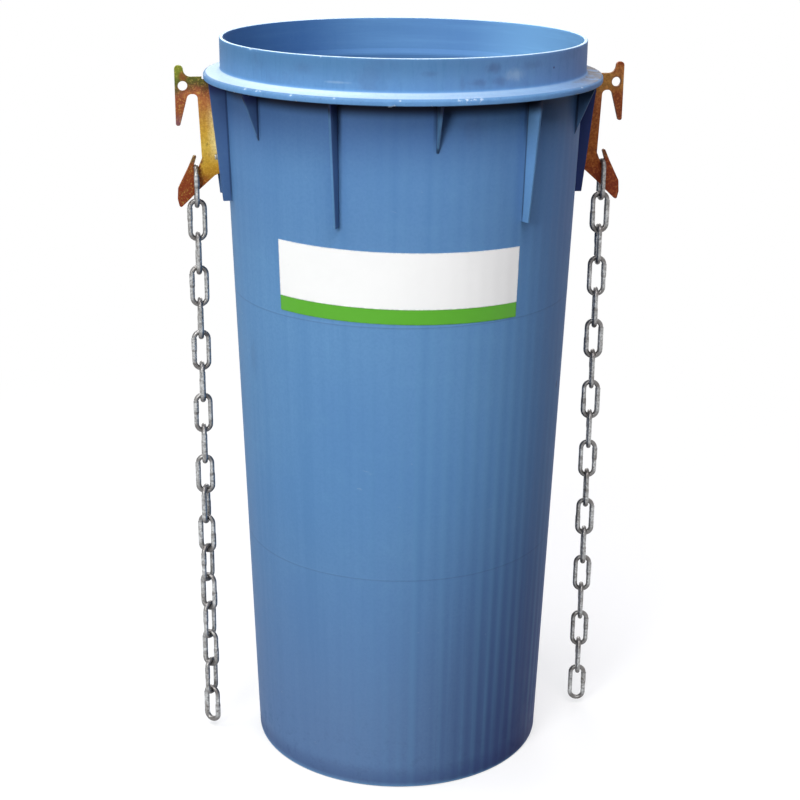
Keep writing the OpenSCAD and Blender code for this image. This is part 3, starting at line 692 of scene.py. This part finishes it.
def makeBracket(side, material):
    b = bracket
    bm = outlineFace(bracketCorners())
    bmesh.ops.delete(bm, geom=bm.faces[:], context="FACES_ONLY")
    holePlace = (Matrix.Translation((chainR + b["edgeOut"] - b["holeIn"], 0, flangeZ - b["holeDrop"]))
                 @ Matrix.Rotation(math.pi / 2, 4, "X"))
    bmesh.ops.create_circle(bm, cap_ends=False, radius=b["holeD"] / 2, segments=36, matrix=holePlace)
    bmesh.ops.triangle_fill(bm, use_beauty=True, use_dissolve=False, edges=bm.edges[:], normal=(0, -1, 0))
    thicken(bm, b["thick"])
    bmesh.ops.translate(bm, vec=(0, -b["offset"] - b["thick"] / 2, 0), verts=bm.verts)
    # the plate's inner end turns round its bend and runs on as the bolted leg
    footZ = flangeZ - b["legHeight"]
    innerFace = min((f for f in bm.faces if f.calc_area() > 400 and abs(f.normal.y) < 0.1),
                    key=lambda f: f.calc_center_median().x)
    slope = math.atan(taper)
    along = Vector((math.sin(slope), 0, math.cos(slope)))
    outward = Vector((math.cos(slope), 0, -math.sin(slope)))
    bendPlace = (Vector((wallR(footZ), -b["offset"] + b["thick"] / 2 + b["bendR"], footZ))
                 + outward * (b["seatOut"] + b["thick"] + b["bendR"]))
    turned = bmesh.ops.spin(bm, geom=[innerFace] + innerFace.edges[:] + innerFace.verts[:], cent=bendPlace,
                            axis=along, dvec=(0, 0, 0), angle=-math.pi / 2, steps=8, use_merge=False)["geom_last"]
    last = [f for f in turned if isinstance(f, bmesh.types.BMFace)]
    made = bmesh.ops.extrude_face_region(bm, geom=last)["geom"]
    reach = b["legReach"] - (-b["offset"] + b["thick"] / 2 + b["bendR"])
    bmesh.ops.translate(bm, vec=(0, reach, 0), verts=[v for v in made if isinstance(v, bmesh.types.BMVert)])
    bmesh.ops.recalc_face_normals(bm, faces=bm.faces)
    softenEdges(bm, b["edgeSoft"], angle=50)
    if side == "left":
        bmesh.ops.rotate(bm, cent=(0, 0, 0), matrix=Matrix.Rotation(math.pi, 3, "Z"), verts=bm.verts)
    finishPiece(bm, side + "Bracket", material, replaced=[side + "_bracket"], weighted=True)


bracketLook = {
    "grime": (48, 38, 34), "rough": 0.42, "metal": 0.18, "shine": 0.25,
    "left": {"stops": [(0.0, (128, 50, 20)), (0.16, (130, 54, 22)), (0.22, (152, 86, 24)), (0.27, (186, 136, 36)),
                       (0.33, (206, 162, 52)), (0.45, (222, 188, 82)), (0.56, (210, 166, 60)), (0.66, (196, 144, 66)),
                       (0.76, (186, 112, 66)), (0.82, (136, 78, 54)), (0.86, (84, 76, 40)), (0.91, (76, 92, 32)),
                       (1.0, (120, 134, 38))],
             "arm": (126, 50, 20), "tip": (92, 70, 52), "prong": (126, 58, 36), "prongTip": (108, 74, 104),
             "bridge": (66, 70, 24), "glare": (252, 246, 196), "dark": (110, 56, 20), "light": (226, 190, 92),
             "glareAmount": 1.0, "patchAmount": 0.7, "grain": 0.26},
    "right": {"stops": [(0.0, (122, 46, 18)), (0.15, (114, 38, 20)), (0.26, (136, 60, 20)), (0.36, (154, 82, 24)),
                        (0.5, (158, 88, 32)), (0.62, (152, 84, 38)), (0.72, (162, 92, 50)), (0.82, (164, 112, 54)),
                        (0.9, (162, 112, 58)), (1.0, (134, 66, 28))],
              "arm": (122, 48, 20), "tip": (104, 68, 40), "prong": (124, 58, 26), "prongTip": (124, 62, 42),
              "bridge": (158, 116, 54), "glare": (190, 130, 60), "dark": (78, 26, 14), "light": (206, 140, 76),
              "glareAmount": 0.3, "patchAmount": 0.2, "grain": 0.5}}


def bracketMaterial(side):
    # yellow passivated zinc: the film's colour drifts with its thickness, and handling leaves it dull
    look = bracketLook[side]
    tones = tonesOf(look)
    stops = [(height, srgb(*tone)) for height, tone in look["stops"]]
    material, wire = newMaterial(side + " yellow zinc")
    place = wire.add("TexCoord", {}, {}, 3)
    x = wire.add("SeparateXYZ", {}, {0: place})
    z = Wire(wire.tree, x.socket.node.outputs[2])
    out = wire.sum("ABSOLUTE", x)
    drift = noiseOn(wire, place, 22, 5, 0.6, 0.8)
    cloud = noiseOn(wire, place, 75, 5, 0.65)
    grain = noiseOn(wire, place, 300, 4, 0.75)
    low, high = (seatZ - 60) / 1000, (flangeZ + bracket["hornHeight"]) / 1000      # the plate's lowest and highest
    mix = (z - low) / (high - low) + (drift - 0.5) * 0.18 + (cloud - 0.5) * 0.14
    color = wire.add("ValToRGB", {"stops": stops}, {0: mix})
    ragged = (cloud - 0.5) * 0.02 + (grain - 0.5) * 0.006
    arm = (out + ragged).step((chainR - 10) / 1000, (chainR - 2) / 1000) * (
        1 - (z + ragged).step((seatZ + 22) / 1000, (seatZ + 28) / 1000))
    color = (arm * 0.9).blend(color, tones["arm"])
    color = (arm * z.step((seatZ + 2) / 1000, (seatZ + 9) / 1000) * 0.8).blend(color, tones["tip"])
    prong = (out + ragged).step((chainR + 6) / 1000, (chainR + 12) / 1000) * (
        1 - (z + ragged).step((flangeZ - 30) / 1000, (flangeZ - 18) / 1000)) * z.step(0.93, 0.94)
    color = (prong * 0.85).blend(color, tones["prong"])
    color = (prong * (1 - z.step(0.955, 0.975)) * 0.6).blend(color, tones["prongTip"])
    bridge = (z + ragged * 2).step((flangeZ - 19) / 1000, (flangeZ - 12) / 1000) * (
        1 - out.step((chainR + 5) / 1000, (chainR + 13) / 1000)) * drift.step(0.3, 0.55)
    color = (bridge * 0.7).blend(color, tones["bridge"])
    fromTube = out - (z * taper + tube["outletR"] / 1000)
    # painted highlight: a pale glare band down the shank beside the tube
    glare = (1 - (fromTube + ragged).step(0.009, 0.028)) * z.step(0.895, 0.925) * (1 - z.step(0.955, 1.0))
    color = (glare * look["glareAmount"] * (0.6 + 0.4 * cloud)).blend(color, tones["glare"])
    color = (grain.step(0.42, 0.66) * look["grain"]).blend(color, tones["dark"])
    color = ((1 - grain.step(0.32, 0.5)) * 0.4).blend(color, tones["light"])
    grime = noiseOn(wire, place, 120, 5, 0.7).step(0.60, 0.74)
    color = (grime * 0.5).blend(color, srgb(*bracketLook["grime"]))
    holeOut = out - (chainR + bracket["edgeOut"] - bracket["holeIn"]) / 1000
    holeUp = z - (flangeZ - bracket["holeDrop"]) / 1000
    patchUp = holeUp - 0.012
    patch = 1 - (wire.sum("SQRT", holeOut * holeOut + patchUp * patchUp) + ragged * 0.5).step(0.003, 0.009)
    color = (patch * look["patchAmount"]).blend(color, tones["prong"])
    rub = 1 - (wire.sum("SQRT", holeOut * holeOut + holeUp * holeUp) + ragged * 0.3).step(0.0068, 0.0092)
    color = (rub * 0.6).blend(color, tones["dark"])
    rough = bracketLook["rough"] + drift * 0.16 + grime * 0.25
    metal = bracketLook["metal"] - grime * 0.15
    height = cloud * 0.8 + grain * 0.4 - grime * 0.6
    linkShader(material, {"Base Color": color, "Roughness": rough, "Metallic": metal,
                          "Specular IOR Level": bracketLook["shine"]}, (height, 0.00012))
    return material


def linkShape(weldSide, shift):
    # a round bar swept round a stadium, with its weld in the middle of one leg
    bm = bmesh.new()
    weld = bm.verts.layers.float.new("weld")
    ends = bm.verts.layers.float.new("ends")
    ring = bmesh.ops.create_circle(bm, cap_ends=False, radius=chain["wire"] / 2, segments=chain["sides"],
                                   matrix=Matrix.Translation((arcR, 0, 0)))["verts"]
    loop = list({e for v in ring for e in v.link_edges})
    last = bmesh.ops.spin(bm, geom=ring + loop, cent=(0, 0, 0), axis=(0, 1, 0), dvec=(0, 0, 0), angle=-math.pi,
                          steps=chain["bendSteps"])["geom_last"]
    for leg, sign in (("left", -1), ("right", 1)):
        x = sign * arcR
        before = 0
        for station in chain["stations"] + [straight]:
            edges = [g for g in last if isinstance(g, bmesh.types.BMEdge)]
            last = bmesh.ops.extrude_edge_only(bm, edges=edges)["geom"]
            verts = [g for g in last if isinstance(g, bmesh.types.BMVert)]
            step = station - before
            bmesh.ops.translate(bm, vec=(0, 0, -step if sign < 0 else step), verts=verts)
            before = station
            middle = station if sign < 0 else straight - station
            bulge = math.exp(-((middle - straight / 2) / chain["weldWide"]) ** 2)
            if leg == weldSide and bulge > 0.02:
                for v in verts:
                    out = Vector((v.co.x - x, v.co.y, 0))
                    uneven = noise.noise(v.co * 0.6 + Vector((shift, 0, 0)))
                    v.co += out * bulge * (chain["weldHigh"] + chain["weldVary"] * uneven)
                    v[weld] = bulge
        if sign < 0:
            edges = [g for g in last if isinstance(g, bmesh.types.BMEdge)]
            verts = [g for g in last if isinstance(g, bmesh.types.BMVert)]
            last = bmesh.ops.spin(bm, geom=verts + edges, cent=(0, 0, -straight), axis=(0, 1, 0),
                                  dvec=(0, 0, 0), angle=-math.pi, steps=chain["bendSteps"])["geom_last"]
    bmesh.ops.remove_doubles(bm, verts=bm.verts, dist=0.02)
    for v in bm.verts:
        v[ends] = max(smooth((v.co.z + 2) / 8), smooth((-straight + 2 - v.co.z) / 8))
    return bm


def twistAt(k, total, after):
    # the chain's twist builds up over a few links
    return -total * max(0, min(1, (k - after) / chain["twistLinks"]))


def makeChain(side, material):
    # every link is a piece of its own, on its own body, and each second one is turned a quarter
    rng = random.Random(chain[side + "Seed"])
    for k in range(1, chain["links"] + 1):
        name = f"{side}_link_{k:02d}"
        bm = linkShape(rng.choice(("left", "right")), rng.uniform(0, 50))
        twist = twistAt(k, chain[side + "Twist"], chain[side + "After"]) + (90 if k % 2 else 0)
        place = (Matrix.Rotation(math.pi if side == "left" else 0, 4, "Z")
                 @ Matrix.Translation((chainR, -bracket["offset"], seatZ - arcR - (k - 1) * linkStep))
                 @ Matrix.Rotation(math.radians(twist), 4, "Z"))
        bmesh.ops.transform(bm, matrix=place, verts=bm.verts)
        finishPiece(bm, f"{side}Link{k:02d}", material, body=name, replaced=[name], angle=60)


chainLook = {"dark": (128, 128, 128), "light": (212, 214, 214), "cloud": (94, 86, 78), "rust": (78, 56, 42),
             "weld": (88, 80, 74), "ends": (62, 50, 46), "rough": 0.28, "metal": 0.78}


def chainMaterial():
    tones = tonesOf(chainLook)
    material, wire = newMaterial("dull galvanised steel")
    place = wire.add("TexCoord", {}, {}, 3)
    weld = wire.add("Attribute", {"attribute_name": "weld"}, {}, 2)
    ends = wire.add("Attribute", {"attribute_name": "ends"}, {}, 2)
    spangle = noiseOn(wire, place, 260, 4, 0.6)
    cloud = noiseOn(wire, place, 60, 4, 0.6)
    rust = noiseOn(wire, place, 110, 5, 0.7, 0.5).step(0.56, 0.70)
    color = spangle.step(0.3, 0.7).blend(tones["dark"], tones["light"])
    color = (cloud.step(0.42, 0.7) * 0.5).blend(color, tones["cloud"])
    color = (rust * 0.6).blend(color, tones["rust"])
    color = (weld.step(0.1, 0.8) * 0.5).blend(color, tones["weld"])
    color = (ends * (0.35 + 0.4 * spangle.step(0.35, 0.65))).blend(color, tones["ends"])
    rough = chainLook["rough"] + cloud * 0.16 + rust * 0.3
    linkShader(material, {"Base Color": color, "Roughness": rough, "Metallic": chainLook["metal"] - rust * 0.5},
               (spangle * 0.7 + rust * 0.8, 0.00008))
    return material


fastenerLook = {"dark": (150, 150, 144), "light": (186, 184, 176), "dull": (104, 92, 74), "rough": 0.32, "metal": 0.9}


def fastenerMaterial():
    tones = tonesOf(fastenerLook)
    material, wire = newMaterial("bright zinc fasteners")
    place = wire.add("TexCoord", {}, {}, 3)
    cloud = noiseOn(wire, place, 120, 4, 0.6)
    dull = noiseOn(wire, place, 45, 5, 0.7).step(0.5, 0.7)
    color = cloud.step(0.35, 0.7).blend(tones["dark"], tones["light"])
    color = (dull * 0.45).blend(color, tones["dull"])
    rough = fastenerLook["rough"] + cloud * 0.2 + dull * 0.2
    linkShader(material, {"Base Color": color, "Roughness": rough, "Metallic": fastenerLook["metal"] - dull * 0.4},
               (cloud * 0.6, 0.0001))
    return material


bpy.context.scene.view_settings.view_transform = "Standard"
makeCamera()
makeWorld()
makeFloor()
for name, lamp in light.items():
    makeLamp(name, *lamp)
print("camera, light and floor ready")

makeTube(tubeMaterial())
print("tube ready")

stripeTop = label["foot"] + label["stripe"]
makeFilm("labelFilm", stripeTop, label["foot"] + label["height"], filmMaterial("white"), "label_sticker",
         label["whiteRows"])
makeFilm("labelStripe", label["foot"], stripeTop, filmMaterial("green"), "label_stripe", label["stripeRows"])
print("label ready")

for side in ("left", "right"):
    makeBracket(side, bracketMaterial(side))
fastener = fastenerMaterial()
for side in ("left", "right"):
    for part in ("bolts", "washers", "nuts"):
        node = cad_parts[f"{side}_{part}"]
        node.data.materials.clear()
        node.data.materials.append(fastener)
print("brackets and fasteners ready")

steel = chainMaterial()
for side in ("left", "right"):
    makeChain(side, steel)
print("chains ready")
